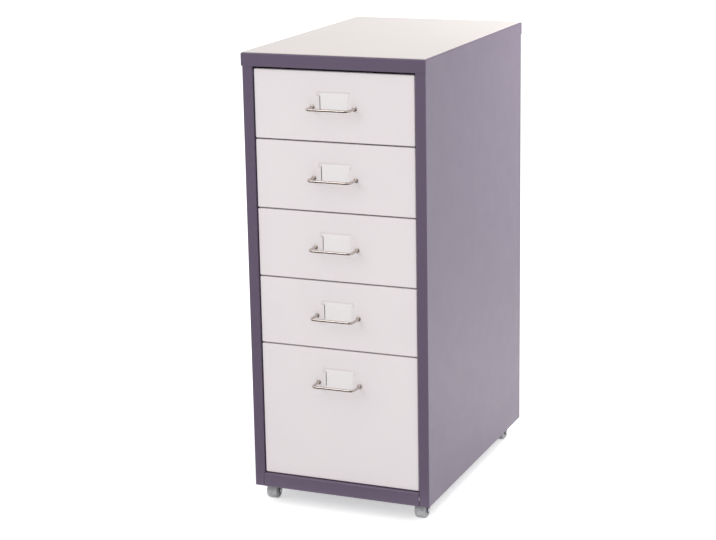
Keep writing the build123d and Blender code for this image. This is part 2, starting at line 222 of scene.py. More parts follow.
def bump(material, height, depth, under=None):
    """Bump of a depth in metres, on top of another if one is given."""
    node = material.node_tree.nodes.new("ShaderNodeBump")
    node.inputs["Distance"].default_value = depth
    node.inputs["Strength"].default_value = BUMP_STRENGTH
    links = material.node_tree.links
    links.new(height, node.inputs["Height"])
    if under is not None:
        links.new(under, node.inputs["Normal"])
    return node.outputs["Normal"]


EDGE_WIDTH = 0.9 * MM  # how far from an edge the coat is rubbed
EDGE_SAMPLES = 6
EDGE_TURN = 0.8  # cosine of the angle at which an edge counts in full
DRIFT_GRAIN = 110 * MM
RUB_GRAIN = 12 * MM
GLOSS_GRAIN = 30 * MM
PEEL_GRAIN = 2.8 * MM
GRIT_GRAIN = 0.6 * MM
PEEL_DEPTH = 0.06 * MM
RUBBED_GAIN = 1.25  # how much paler the coat gets where it is rubbed
PALEST = 0.9


def edge_mask(material):
    """1 along the edges of a piece, fading to 0 a little way in."""
    nodes = material.node_tree.nodes
    links = material.node_tree.links
    rounded = nodes.new("ShaderNodeBevel")
    rounded.samples = EDGE_SAMPLES
    rounded.inputs["Radius"].default_value = EDGE_WIDTH
    plain = nodes.new("ShaderNodeNewGeometry")
    match = nodes.new("ShaderNodeVectorMath")
    match.operation = "DOT_PRODUCT"
    links.new(rounded.outputs["Normal"], match.inputs[0])
    links.new(plain.outputs["Normal"], match.inputs[1])
    return spread(material, match.outputs["Value"], 1, 0, EDGE_TURN, 1)


def painted(name, color, roughness, shade, tint=(1, 1, 1)):
    """Powder coat: orange peel, a fine grit, slow drifts of tone and gloss, and edges rubbed paler."""
    material, shader = start_material(name, color, roughness)
    links = material.node_tree.links
    vector = place_texture(material)
    drift = spread(material, noise(material, vector, DRIFT_GRAIN, 2.0), 0, 1)
    darker = tuple(channel * shade * warm for channel, warm in zip(color, tint))
    coat = mix_colors(material, drift, color, darker)
    patches = spread(material, noise(material, vector, RUB_GRAIN, 4.0), 0, 1, 0.42, 0.62)
    rubbed = multiply(material, edge_mask(material), patches)
    pale = tuple(min(channel * RUBBED_GAIN, PALEST) for channel in color)
    links.new(mix_colors(material, rubbed, coat, pale), shader.inputs["Base Color"])
    gloss = spread(material, noise(material, vector, GLOSS_GRAIN), roughness - 0.015, roughness + 0.02)
    links.new(gloss, shader.inputs["Roughness"])
    orange_peel = bump(material, noise(material, vector, PEEL_GRAIN, 2.0), PEEL_DEPTH)
    grit = bump(material, noise(material, vector, GRIT_GRAIN, 2.0), PEEL_DEPTH / 5, orange_peel)
    links.new(grit, shader.inputs["Normal"])
    return material


def zinc_plate():
    """Bright zinc: cloudy grains and rolling marks along the sheet."""
    light = srgb(196, 198, 200)
    dark = srgb(150, 153, 158)
    material, shader = start_material("zinc", light, 0.38, 1.0)
    links = material.node_tree.links
    along_y = (1, 0.06, 1)
    clouds = spread(material, noise(material, place_texture(material), 6 * MM, 4.0), 0, 1)
    links.new(mix_colors(material, clouds, light, dark), shader.inputs["Base Color"])
    lines = noise(material, place_texture(material, along_y), 0.7 * MM, 3.0)
    links.new(spread(material, lines, 0.3, 0.5), shader.inputs["Roughness"])
    links.new(bump(material, lines, 0.02 * MM), shader.inputs["Normal"])
    return material


def chrome_plate():
    """Polished plate with hairline marks along the wire."""
    light = srgb(208, 200, 194)
    dark = srgb(184, 174, 167)
    material, shader = start_material("chrome", light, 0.12, 1.0)
    links = material.node_tree.links
    along_x = (0.08, 1, 1)
    smudge = noise(material, place_texture(material), 6 * MM, 3.0)
    links.new(mix_colors(material, smudge, light, dark), shader.inputs["Base Color"])
    links.new(spread(material, smudge, 0.08, 0.2), shader.inputs["Roughness"])
    hairline = noise(material, place_texture(material, along_x), 0.5 * MM, 2.0)
    links.new(bump(material, hairline, 0.006 * MM), shader.inputs["Normal"])
    return material


def wheel_plastic():
    """Matte grey wheel plastic, a little mottled and scuffed."""
    light = srgb(186, 187, 190)
    dark = srgb(150, 151, 156)
    material, shader = start_material("wheel_grey", light, 0.5)
    links = material.node_tree.links
    vector = place_texture(material)
    mottle = spread(material, noise(material, vector, 4 * MM, 4.0), 0, 1, 0.4, 0.75)
    links.new(mix_colors(material, mottle, light, dark), shader.inputs["Base Color"])
    links.new(spread(material, noise(material, vector, 1.5 * MM), 0.42, 0.6), shader.inputs["Roughness"])
    links.new(bump(material, noise(material, vector, 0.8 * MM), 0.04 * MM), shader.inputs["Normal"])
    return material


def card_paper():
    """Plain card with fibres."""
    light = srgb(238, 235, 236)
    dark = srgb(230, 227, 227)
    material, shader = start_material("card", light, 0.75)
    links = material.node_tree.links
    along_x = (0.35, 1, 1)
    fibres = noise(material, place_texture(material, along_x), 0.9 * MM, 5.0)
    links.new(mix_colors(material, spread(material, fibres, 0, 1), light, dark), shader.inputs["Base Color"])
    links.new(bump(material, fibres, 0.03 * MM), shader.inputs["Normal"])
    return material


FLOOR_COLOR = (0.92, 0.92, 0.92)
FLOOR_GLOW = 0.5  # light that the camera and mirrors see it give off


def floor_material():
    """Pale floor that stays white to the camera but for the object's shadow."""
    material, shader = start_material("floor", FLOOR_COLOR, 0.9)
    tree = material.node_tree
    glow = tree.nodes.new("ShaderNodeMath")
    glow.operation = "MULTIPLY"
    glow.inputs[1].default_value = FLOOR_GLOW
    tree.links.new(seen_directly(tree), glow.inputs[0])
    shader.inputs["Emission Color"].default_value = (1, 1, 1, 1)
    tree.links.new(glow.outputs[0], shader.inputs["Emission Strength"])
    return material


FRAME_PAINT = painted("frame_paint", srgb(100, 88, 110), 0.36, 0.98, (1, 0.995, 1))
CASTER_PAINT = painted("caster_paint", srgb(62, 58, 62), 0.4, 0.9)
DRAWER_PAINT = painted("drawer_paint", srgb(232, 226, 228), 0.42, 0.975, (1, 1, 1.005))
# Near-white top coat: part of its paleness is painted sheen, the glare that the top shows when seen at a low
# angle
TOP_COAT_AND_PAINTED_SHEEN = painted("top_paint", srgb(221, 215, 212), 0.45, 0.975, (1, 1, 0.99))
ZINC = zinc_plate()
CHROME = chrome_plate()
WHEEL = wheel_plastic()
CARD = card_paper()
FLOOR = floor_material()

SLOT_MATERIALS = {
    "frame_paint": FRAME_PAINT,
    "drawer_paint": DRAWER_PAINT,
    "top_paint": TOP_COAT_AND_PAINTED_SHEEN,
    "zinc": ZINC,
    "chrome": CHROME,
    "wheel": WHEEL,
    "card": CARD,
    "caster_paint": CASTER_PAINT,
}


def dress_nodes():
    """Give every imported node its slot's material."""
    slots = {row["node"]: row["material_slot"] for row in frame["record"]["subparts"]}
    for name, node in frame["nodes"].items():
        node.data.materials.clear()
        node.data.materials.append(SLOT_MATERIALS[slots[name]])


# ---------------------------------------------------------------- mesh helpers
def add_piece(name, mesh, body, slot, *replaced):
    """Put a finished mesh on a body, dressed for its slot, in place of the nodes named."""
    piece = bpy.data.objects.new(name, mesh)
    bpy.context.scene.collection.objects.link(piece)
    mesh.materials.append(SLOT_MATERIALS[slot])
    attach(piece, body)
    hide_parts(*replaced)
    return piece


def grid_faces(rings, columns, closed=False):
    """Faces of a grid of rings whose columns go all the way round."""
    faces = []
    for row in range(rings if closed else rings - 1):
        for column in range(columns):
            beside = (column + 1) % columns
            above = (row + 1) % rings
            low, high = row * columns, above * columns
            faces.append((low + column, low + beside, high + beside, high + column))
    return faces


CREASE = math.radians(35)
MERGE = 1e-7  # points nearer than this are one


def finish_mesh(name, shells, crease=CREASE, start=None):
    """One smooth mesh from several (points, faces) shells, added to a first mesh where one is given.

    Folds sharper than crease stay sharp.
    """
    builder = bmesh.new()
    if start is not None:
        builder.from_mesh(start)
    for points, faces in shells:
        corners = [builder.verts.new(point) for point in points]
        for face in faces:
            builder.faces.new([corners[index] for index in face])
    bmesh.ops.remove_doubles(builder, verts=builder.verts, dist=MERGE)
    bmesh.ops.dissolve_degenerate(builder, dist=MERGE, edges=builder.edges)
    bmesh.ops.recalc_face_normals(builder, faces=builder.faces)
    mesh = bpy.data.meshes.new(name)
    builder.to_mesh(mesh)
    builder.free()
    mesh.polygons.foreach_set("use_smooth", [True] * len(mesh.polygons))
    mesh.set_sharp_from_angle(angle=crease)
    return mesh


def lathe(profile, origin, axis, sides=64, closed=True):
    """Shell turned about an axis through origin, from (radius, distance along the axis) pairs."""
    turn = Vector((0, 0, 1)).rotation_difference(Vector(axis))
    points = []
    for radius, along in profile:
        for side in range(sides):
            angle = 2 * math.pi * side / sides
            spoke = Vector((radius * math.cos(angle), radius * math.sin(angle), along))
            points.append(Vector(origin) + turn @ spoke)
    return points, grid_faces(len(profile), sides, closed)


def close_ends(points, count):
    """Faces over the first and the last of the rings that the points make, count to a ring."""
    return [tuple(range(count)), tuple(range(len(points) - count, len(points)))]


def cylinder(centre, radius, start, end, sides=32):
    """Closed bar along Y, from start to end beside its centre."""
    points, faces = lathe([(radius, start), (radius, end)], centre, (0, 1, 0), sides, False)
    return points, faces + close_ends(points, sides)


def dome(radius, start, height, shape):
    """Profile of a rounded head: shape holds (share of the radius, share of the height) pairs."""
    return [(radius * width, start + height * rise) for width, rise in shape]


def arc_points(centre, radius, start, end, steps=6):
    """Points (u, v) on an arc, angles in degrees, for a rounded profile."""
    angles = [math.radians(start + (end - start) * step / steps) for step in range(steps + 1)]
    return [(centre[0] + radius * math.cos(a), centre[1] + radius * math.sin(a)) for a in angles]


def cut_mesh(mesh, shells):
    """The mesh with the space inside some closed shells taken out of it."""
    scene = bpy.context.scene
    body = bpy.data.objects.new("uncut", mesh)
    tool = bpy.data.objects.new("cutter", finish_mesh("cutter", shells))
    scene.collection.objects.link(body)
    scene.collection.objects.link(tool)
    modifier = body.modifiers.new("cut", "BOOLEAN")
    modifier.operation = "DIFFERENCE"
    modifier.solver = "EXACT"
    modifier.object = tool
    found = bpy.data.meshes.new_from_object(body.evaluated_get(bpy.context.evaluated_depsgraph_get()))
    bpy.data.objects.remove(body)
    bpy.data.objects.remove(tool)
    return found


def block(low, high):
    """Closed box from its lowest to its highest corner."""
    outline = [(low[0], low[1]), (high[0], low[1]), (high[0], high[1]), (low[0], high[1])]
    points = [(x, y, z) for z in (low[2], high[2]) for x, y in outline]
    return points, grid_faces(2, 4) + close_ends(points, 4)


BEND_STEPS = 6


def round_corners(path, bends):
    """The path with an arc of the radius named in bends at each of its inner points."""
    line = [Vector(path[0])]
    for before, corner, after, bend in zip(path, path[1:], path[2:], bends):
        before, corner, after = Vector(before), Vector(corner), Vector(after)
        away = (before - corner).normalized()
        onward = (after - corner).normalized()
        half_angle = away.angle(onward) / 2
        centre = corner + (away + onward).normalized() * bend / math.sin(half_angle)
        first = (corner + away * bend / math.tan(half_angle) - centre).normalized()
        last = (corner + onward * bend / math.tan(half_angle) - centre).normalized()
        for step in range(BEND_STEPS + 1):
            line.append(centre + bend * first.slerp(last, step / BEND_STEPS))
    return line + [Vector(path[-1])]


def folded_sheet(path, start_y, end_y, sheet, bends):
    """Sheet folded along a path of (x, z) points with round bends, running from start_y to end_y."""
    line = round_corners(path, bends)
    points = []
    for index, point in enumerate(line):
        along = (line[min(index + 1, len(line) - 1)] - line[max(index - 1, 0)]).normalized()
        side = Vector((-along.y, along.x)) * sheet / 2
        for x, z in (point + side, point - side):
            points += [(x, start_y, z), (x, end_y, z)]
    rows = len(line)
    faces = []
    for row in range(rows - 1):
        for a, b in ((0, 1), (1, 3), (3, 2), (2, 0)):
            faces.append((4 * row + a, 4 * row + b, 4 * row + 4 + b, 4 * row + 4 + a))
    faces += [(0, 1, 3, 2), tuple(4 * (rows - 1) + k for k in (0, 1, 3, 2))]
    return points, faces


# ---------------------------------------------------------------- drawer fronts
SHEET = 0.8 * MM
FRONT_BEND = 1.6 * MM  # outside radius of the folded edges
FRONT_CORNER = 1.2 * MM  # rounding where two folded edges meet
HOLDER_HALF = (25.6 * MM, 16.5 * MM)  # pressed label bed, from its middle to its edges
HOLDER_BELOW_TOP = 45 * MM  # middle of the bed below the top of the front
HOLDER_DEPTH = 1.4 * MM
HOLDER_WALL = 1.67 * MM  # width of the sloping wall
HOLDER_ROUND = 0.4 * MM  # how far its rounding reaches into the face
LIP_WIDTH = 4.4 * MM
LIP_HEIGHT = 20 * MM
LIP_SLOT = 0.6 * MM
LIP_ROUND = 0.25 * MM
PULL_SPACING = 64.5 * MM
PULL_BELOW_TOP = 51 * MM
PULL_HOLE = 2.15 * MM


BED_CORNER = 2 * MM
BED_STEPS = 8
RIM_STEPS = 6
CUT_SPARE = 1 * MM  # how far a cutter stands out of the sheet


def rounded_ring(middle_z, half, corner, y, steps=5):
    """Points round a rounded rectangle that stands at depth y."""
    points = []
    for quarter, (side_x, side_z) in enumerate(((1, 1), (-1, 1), (-1, -1), (1, -1))):
        centre = (side_x * (half[0] - corner), middle_z + side_z * (half[1] - corner))
        start = 90 * quarter
        points += [(x, y, z) for x, z in arc_points(centre, corner, start, start + 90, steps)]
    return points


def grown(half, by):
    """Half sizes of a rectangle that reaches further on every side."""
    return half[0] + by, half[1] + by


def pressed_bed(middle_z, y, thicker):
    """Rings of the label bed from its floor out to the face, for one side of the sheet."""
    rings = []
    for step in range(BED_STEPS + 1):
        t = 1 - step / BED_STEPS
        half = grown(HOLDER_HALF, HOLDER_ROUND + thicker - t * (HOLDER_WALL + HOLDER_ROUND))
        rings.append(rounded_ring(middle_z, half, BED_CORNER, y + HOLDER_DEPTH * t * t * (3 - 2 * t)))
    return rings


def folded_rim(middle_z, half, y, radius):
    """Rings of the folded edge from the face to where the return starts."""
    rings = []
    for step in range(RIM_STEPS + 1):
        angle = math.pi / 2 * step / RIM_STEPS
        inset = radius * (1 - math.sin(angle))
        depth = y + radius * (1 - math.cos(angle))
        rings.append(rounded_ring(middle_z, grown(half, -inset), FRONT_CORNER - 0.6 * inset, depth))
    return rings


def pressed_pan(low, high, bed_z):
    """The front without its holes: pressed bed, face, folded edges, and the same rings behind."""
    face_y = low.y
    back_y = face_y + SHEET
    middle_z = (low.z + high.z) / 2
    half = (high.x, (high.z - low.z) / 2)
    inner = grown(half, -SHEET)
    flat = grown(half, -FRONT_BEND - 0.4 * MM)
    rings = pressed_bed(bed_z, face_y, 0)
    rings.append(rounded_ring(bed_z, grown(HOLDER_HALF, 1 * MM), 2.6 * MM, face_y))
    rings.append(rounded_ring(middle_z, flat, 0.3 * MM, face_y))
    rings += folded_rim(middle_z, half, face_y, FRONT_BEND)
    rings.append(rounded_ring(middle_z, half, FRONT_CORNER, high.y))
    rings.append(rounded_ring(middle_z, inner, FRONT_CORNER - SHEET / 2, high.y))
    rings += reversed(folded_rim(middle_z, inner, back_y, FRONT_BEND - SHEET))
    rings.append(rounded_ring(middle_z, flat, 0.3 * MM, back_y))
    rings.append(rounded_ring(bed_z, grown(HOLDER_HALF, 2 * MM), 2.6 * MM, back_y))
    rings += reversed(pressed_bed(bed_z, back_y, 0.3 * MM))
    count = len(rings[0])
    points = [point for ring in rings for point in ring]
    return points, grid_faces(len(rings), count) + close_ends(points, count)


def front_cutters(face_y, bed_z, pull_z):
    """What is punched out of a front: a slot at each end of the bed and the two holes of the pull."""
    hole_end = HOLDER_HALF[0] + HOLDER_ROUND
    hole_start = HOLDER_HALF[0] - LIP_WIDTH - LIP_SLOT
    deep = face_y + SHEET + HOLDER_DEPTH + CUT_SPARE
    cutters = []
    for side in (-1, 1):
        left, right = sorted((side * hole_start, side * hole_end))
        corner = (left, face_y - CUT_SPARE, bed_z - LIP_HEIGHT / 2)
        cutters.append(block(corner, (right, deep, bed_z + LIP_HEIGHT / 2)))
        cutters.append(cylinder((side * PULL_SPACING / 2, face_y, pull_z), PULL_HOLE, -CUT_SPARE, 2 * MM))
    return cutters


def label_lip(side, face_y, bed_z):
    """Bridge across one end of the bed, with a rounded edge towards the card."""
    outer = HOLDER_HALF[0] + HOLDER_ROUND
    inner = HOLDER_HALF[0] - LIP_WIDTH
    section = [(outer, 0), (inner + LIP_ROUND, 0), (inner + LIP_ROUND * 0.3, LIP_ROUND * 0.3)]
    section += [(inner, LIP_ROUND), (inner, SHEET), (outer, SHEET)]
    levels = (bed_z - LIP_HEIGHT / 2, bed_z + LIP_HEIGHT / 2)
    points = [(side * x, face_y + y, z) for z in levels for x, y in section]
    return points, grid_faces(2, len(section)) + close_ends(points, len(section))


def make_front(number):
    """Folded pan with its pressed label bed, the lips at both ends of it and the two handle holes."""
    low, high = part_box(f"drawer_front_{number}")
    bed_z = high.z - HOLDER_BELOW_TOP
    pan = finish_mesh("pan", [pressed_pan(low, high, bed_z)])
    cut_pan = cut_mesh(pan, front_cutters(low.y, bed_z, high.z - PULL_BELOW_TOP))
    lips = [label_lip(side, low.y, bed_z) for side in (-1, 1)]
    mesh = finish_mesh(f"drawer_face_{number}", lips, start=cut_pan)
    add_piece(f"drawer_face_{number}", mesh, f"drawer_{number}", "drawer_paint", f"drawer_front_{number}")


# ---------------------------------------------------------------- drawer trays
TRAY_BEND = 1.0 * MM  # radius of the middle of the sheet in a bend
HEM_HEIGHT = 8 * MM
HEM_GAP = 0.06 * MM
REAR_DROP = 10 * MM  # rear wall below the sides
TONGUE_DROP = 4.5 * MM
TONGUE_X = 111.3 * MM  # middle of a tongue
TONGUE_WIDTH = 4 * MM
REAR_INSET = 0.1 * MM  # rear wall short of the tray's sides


def make_tray(number):
    """Tray with round bends and a flat hem along each side, a rear wall and two stop tongues."""
    low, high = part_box(f"drawer_tray_{number}")
    floor_z = low.z + TONGUE_DROP
    half = SHEET / 2
    wall = high.x - half
    hem = wall - SHEET - HEM_GAP
    turn = (SHEET + HEM_GAP) / 2
    edge_z = high.z - half
    right = [(hem, high.z - HEM_HEIGHT), (hem, edge_z), (wall, edge_z), (wall, floor_z + half)]
    path = [(-x, z) for x, z in right] + right[::-1]
    bends = (turn, turn, TRAY_BEND, TRAY_BEND, turn, turn)
    rear_y = high.y - SHEET
    rear_x = high.x - REAR_INSET
    shells = [folded_sheet(path, low.y, rear_y, SHEET, bends)]
    shells.append(block((-rear_x, rear_y, floor_z), (rear_x, high.y, high.z - REAR_DROP)))
    for x in (-TONGUE_X, TONGUE_X):
        corner = (x - TONGUE_WIDTH / 2, rear_y, low.z)
        shells.append(block(corner, (x + TONGUE_WIDTH / 2, high.y, floor_z)))
    mesh = finish_mesh(f"tray_{number}", shells)
    add_piece(f"tray_{number}", mesh, f"drawer_{number}", "drawer_paint", f"drawer_tray_{number}")


# ---------------------------------------------------------------- handles
WIRE = 4 * MM  # diameter
COLLAR = 7 * MM
COLLAR_HEIGHT = 1.5 * MM
COLLAR_ROUND = 0.5 * MM
BEND = 6 * MM
THREAD_PITCH = 0.7 * MM
THREAD_DEPTH = 0.3 * MM


FILLET = 1 * MM  # from the collar into the wire
WIRE_SIDES = 24
TAIL_STEPS = 44
PULL_CREASE = math.radians(50)


def wire_frames(path):
    """Along a flat path in X and Y: each point with its sideways direction."""
    found = []
    for index, point in enumerate(path):
        before = path[max(index - 1, 0)]
        after = path[min(index + 1, len(path) - 1)]
        along = (after - before).normalized()
        found.append((point, Vector((-along.y, along.x, 0))))
    return found


def half_pull(leg_x, bar_y, face_y, tail_y):
    """Right half of a pull, from its tail to the bar: (x, y, radius, whether it is threaded)."""
    length = tail_y - face_y
    half = [(leg_x, tail_y - length * step / TAIL_STEPS, WIRE / 2, True) for step in range(TAIL_STEPS)]
    half.append((leg_x, face_y, COLLAR / 2, False))
    collar = arc_points((COLLAR / 2 - COLLAR_ROUND, COLLAR_HEIGHT - COLLAR_ROUND), COLLAR_ROUND, 0, 90, 4)
    fillet = arc_points((WIRE / 2 + FILLET, COLLAR_HEIGHT + FILLET), FILLET, 270, 180, 5)
    half += [(leg_x, face_y - stand_out, radius, False) for radius, stand_out in collar + fillet]
    turn = arc_points((leg_x - BEND, bar_y + BEND), BEND, 0, -90, 12)
    return half + [(x, y, WIRE / 2, False) for x, y in turn]


def make_handle(number):
    """Bent wire pull with a rounded shoulder on each leg and threaded tails."""
    low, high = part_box(f"handle_{number}")
    face_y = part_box(f"drawer_front_{number}")[0].y
    z = (low.z + high.z) / 2
    half = half_pull((high.x - low.x - COLLAR) / 2, low.y + WIRE / 2, face_y, high.y)
    path = half + [(-x, y, radius, threaded) for x, y, radius, threaded in reversed(half)]
    points = []
    frames = wire_frames([Vector((x, y, z)) for x, y, _, _ in path])
    for (centre, sideways), (_, y, radius, threaded) in zip(frames, path):
        for side in range(WIRE_SIDES):
            angle = 2 * math.pi * side / WIRE_SIDES
            turn = (y / THREAD_PITCH + side / WIRE_SIDES) % 1
            reach = radius - THREAD_DEPTH * abs(2 * turn - 1) if threaded else radius
            points.append(centre + reach * (math.cos(angle) * sideways + math.sin(angle) * Vector((0, 0, 1))))
    faces = grid_faces(len(path), WIRE_SIDES) + close_ends(points, WIRE_SIDES)
    mesh = finish_mesh(f"wire_pull_{number}", [(points, faces)], PULL_CREASE)
    add_piece(f"wire_pull_{number}", mesh, f"drawer_{number}", "chrome", f"handle_{number}")


NUT_CHAMFER = 0.35 * MM
NUT_BORE = 2.05 * MM


NUT_TURNED = 1.02  # radius left by the chamfer, in half widths across the flats
NUT_SIDES = 72


def nut_ring(x, y, z, flat, chamfered):
    """Ring of points round a hexagon, or round the circle that its chamfer leaves."""
    points = []
    for side in range(NUT_SIDES):
        angle = 2 * math.pi * side / NUT_SIDES
        to_flat = (angle + math.pi / 2) % (math.pi / 3) - math.pi / 6
        radius = flat / math.cos(to_flat)
        if chamfered:
            radius = min(radius, flat * NUT_TURNED)
        points.append((x + radius * math.cos(angle), y, z + radius * math.sin(angle)))
    return points


def make_nuts(number):
    """Two hexagon nuts with chamfered corners."""
    low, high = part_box(f"handle_nuts_{number}")
    handle_low, handle_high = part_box(f"handle_{number}")
    leg_x = (handle_high.x - handle_low.x - COLLAR) / 2
    z = (low.z + high.z) / 2
    flat = (high.z - low.z) / 2
    levels = [(low.y, True), (low.y + NUT_CHAMFER, False), (high.y - NUT_CHAMFER, False), (high.y, True)]
    shells = []
    for x in (-leg_x, leg_x):
        points = []
        for y, chamfered in levels:
            points += nut_ring(x, y, z, flat, chamfered)
        bore = arc_points((x, z), NUT_BORE, 0, 360, NUT_SIDES)[:-1]
        points += [(u, y, v) for y in (high.y, low.y) for u, v in bore]
        shells.append((points, grid_faces(6, NUT_SIDES, True)))
    mesh = finish_mesh(f"hex_nuts_{number}", shells)
    add_piece(f"hex_nuts_{number}", mesh, f"drawer_{number}", "zinc", f"handle_nuts_{number}")


# ---------------------------------------------------------------- casters
TREAD_ROUND = 3.2 * MM
HUB_RADIUS = 4.6 * MM
HUB_SUNK = 1.1 * MM
RIM_WALL = 2.6 * MM
WEB_SLOPE = 0.4 * MM
MOULD_LINE = (0.25 * MM, 0.02 * MM)  # half its width, and its height
WHEEL_CREASE = math.radians(30)
AXLE_RADIUS = 2 * MM
AXLE_PLAY = 0.08 * MM
HEAD_HEIGHT = 1 * MM
HEAD_SHAPE = ((1, 0.2), (0.86, 0.62), (0.55, 0.92), (0, 1))


def make_wheel(corner):
    """Wheel with a rounded tread, a sunk web between rim and hub, and a mould line round the tread."""
    name = f"caster_wheel_{corner}"
    low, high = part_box(name)
    centre = (low + high) / 2
    radius = (high.z - low.z) / 2
    half = (high.x - low.x) / 2
    web = half - HUB_SUNK
    side = [(AXLE_RADIUS + AXLE_PLAY, half), (HUB_RADIUS, half), (HUB_RADIUS + WEB_SLOPE, web)]
    side += [(radius - RIM_WALL - WEB_SLOPE, web), (radius - RIM_WALL, half)]
    side += arc_points((radius - TREAD_ROUND, half - TREAD_ROUND), TREAD_ROUND, 90, 0, 8)
    line = [(radius, MOULD_LINE[0]), (radius + MOULD_LINE[1], 0)]
    profile = side + line + [(r, -x) for r, x in reversed(side + line[:1])]
    mesh = finish_mesh(f"wheel_{corner}", [lathe(profile, centre, (1, 0, 0), 72)], WHEEL_CREASE)
    add_piece(f"wheel_{corner}", mesh, f"wheel_{corner}", "wheel", name)


def make_axle(corner):
    """Rivet with a domed head at each end."""
    name = f"caster_axle_{corner}"
    low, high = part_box(name)
    centre = (low + high) / 2
    end = (high.x - low.x) / 2
    head = (high.z - low.z) / 2
    seat = end - HEAD_HEIGHT
    half = [(AXLE_RADIUS, 0), (AXLE_RADIUS, seat), (head, seat)]
    half += dome(head, seat, HEAD_HEIGHT, HEAD_SHAPE)
    profile = [(r, -x) for r, x in reversed(half)] + half[1:]
    mesh = finish_mesh(f"axle_{corner}", [lathe(profile, centre, (1, 0, 0), 40, False)])
    add_piece(f"axle_{corner}", mesh, f"swivel_{corner}", "zinc", name)


FORK_SHEET = 1.2 * MM
CHEEK_INNER = 8.9 * MM
CHEEK_FOOT = 4.5 * MM  # radius round the axle
CHEEK_TOP = 8 * MM  # half its width under the crown
PRESS_ROUND = 0.3 * MM
CROWN_ROUND = 0.4 * MM
PIN_RADIUS = 3 * MM
PIN_PLAY = 0.08 * MM


def cheek_outline(axle, top_z, swivel_y):
    """Outline (y, z) of a fork cheek: round foot about the axle, straight sides up to the crown."""
    corners = [(swivel_y - CHEEK_TOP, top_z), (swivel_y + CHEEK_TOP, top_z)]
    turns = []
    for (y, z), outwards in zip(corners, (1, -1)):
        direction = math.atan2(z - axle[1], y - axle[0])
        tangent = math.acos(CHEEK_FOOT / math.hypot(y - axle[0], z - axle[1]))
        turns.append(math.degrees(direction + outwards * tangent))
    return arc_points(axle, CHEEK_FOOT, turns[0], turns[1] + 360, 20) + corners[::-1]


def pressed_plate(outline, low, high, place):
    """Plate with softened edges: an outline of (u, v) points run from low to high along a third axis."""
    middle = Vector((sum(u for u, _ in outline), sum(v for _, v in outline))) / len(outline)
    low_level = [(low, PRESS_ROUND), (low + PRESS_ROUND, 0)]
    high_level = [(high - PRESS_ROUND, 0), (high, PRESS_ROUND)]
    points = []
    for level, inset in low_level + high_level:
        for u, v in outline:
            inwards = (middle - Vector((u, v))).normalized() * inset
            points.append(place(u + inwards.x, v + inwards.y, level))
    return points, grid_faces(4, len(outline)) + close_ends(points, len(outline))


def make_fork(corner):
    """Pressed fork: crown with softened edges and two cheeks."""
    low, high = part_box(f"caster_fork_{corner}")
    axle_low, axle_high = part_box(f"caster_axle_{corner}")
    x, y = (low.x + high.x) / 2, (low.y + high.y) / 2
    radius = (high.x - low.x) / 2
    bore = PIN_RADIUS + PIN_PLAY
    crown = [(bore, -FORK_SHEET), (bore, 0), (radius - CROWN_ROUND, 0), (radius, -CROWN_ROUND)]
    crown += [(radius, PRESS_ROUND - FORK_SHEET), (radius - PRESS_ROUND, -FORK_SHEET)]
    shells = [lathe(crown, (x, y, high.z), (0, 0, 1), 72)]
    axle = ((axle_low.y + axle_high.y) / 2, (axle_low.z + axle_high.z) / 2)
    outline = cheek_outline(axle, high.z - FORK_SHEET, y)
    for start in (x + CHEEK_INNER, x - CHEEK_INNER - FORK_SHEET):
        shells.append(pressed_plate(outline, start, start + FORK_SHEET, lambda u, v, level: (level, u, v)))
    mesh = finish_mesh(f"fork_{corner}", shells)
    add_piece(f"fork_{corner}", mesh, f"swivel_{corner}", "caster_paint", f"caster_fork_{corner}")


PLATE_CORNER = 4.5 * MM
PLATE_THICK = 1.5 * MM
RACE_RADIUS = 9 * MM
RACE_HEIGHT = 2.4 * MM
RACE_ROUND = 0.8 * MM
PIN_HEAD_RADIUS = 5 * MM
PIN_HEAD_HEIGHT = 1.2 * MM
PIN_HEAD_SHAPE = ((1, 0), (0.94, 0.5), (0.66, 0.88), (0, 1))


def make_plate(corner):
    """Mounting plate with round corners, its pressed race and the domed end of the kingpin."""
    low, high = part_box(f"caster_plate_{corner}")
    x, y = (low.x + high.x) / 2, (low.y + high.y) / 2
    half = (high.x - low.x) / 2
    outline = [(u + x, w + y) for u, _, w in rounded_ring(0, (half, half), PLATE_CORNER, 0, 8)]
    plate_z = high.z - PLATE_THICK
    shells = [pressed_plate(outline, plate_z, high.z, lambda u, v, level: (u, v, level))]
    race = -PLATE_THICK - RACE_HEIGHT
    end = low.z + PIN_HEAD_HEIGHT - high.z
    profile = [(0, -PLATE_THICK), (RACE_RADIUS, -PLATE_THICK), (RACE_RADIUS, race + RACE_ROUND)]
    profile += [(RACE_RADIUS - 0.3 * MM, race + 0.3 * MM), (RACE_RADIUS - RACE_ROUND, race)]
    profile += [(PIN_RADIUS, race), (PIN_RADIUS, end)]
    profile += dome(PIN_HEAD_RADIUS, end, -PIN_HEAD_HEIGHT, PIN_HEAD_SHAPE)
    shells.append(lathe(profile, (x, y, high.z), (0, 0, 1), 64, False))
    mesh = finish_mesh(f"swivel_plate_{corner}", shells)
    add_piece(f"swivel_plate_{corner}", mesh, "carcass", "caster_paint", f"caster_plate_{corner}")


# ---------------------------------------------------------------- screws
SCREW_HEAD = 3.8 * MM  # radius
SCREW_HEAD_HEIGHT = 2 * MM
SCREW_HEAD_SHAPE = ((1, 0), (1, 0.35), (0.96, 0.62), (0.8, 0.86), (0.5, 0.98), (0, 1))
SCREW_SHANK = 6 * MM
SCREW_RADIUS = 2 * MM
CASTER_HOLE = 12.5 * MM  # screws to either side of a swivel axis
RECESS_ARM = 2 * MM
RECESS_HALF = 0.45 * MM
RECESS_DEPTH = 1.1 * MM


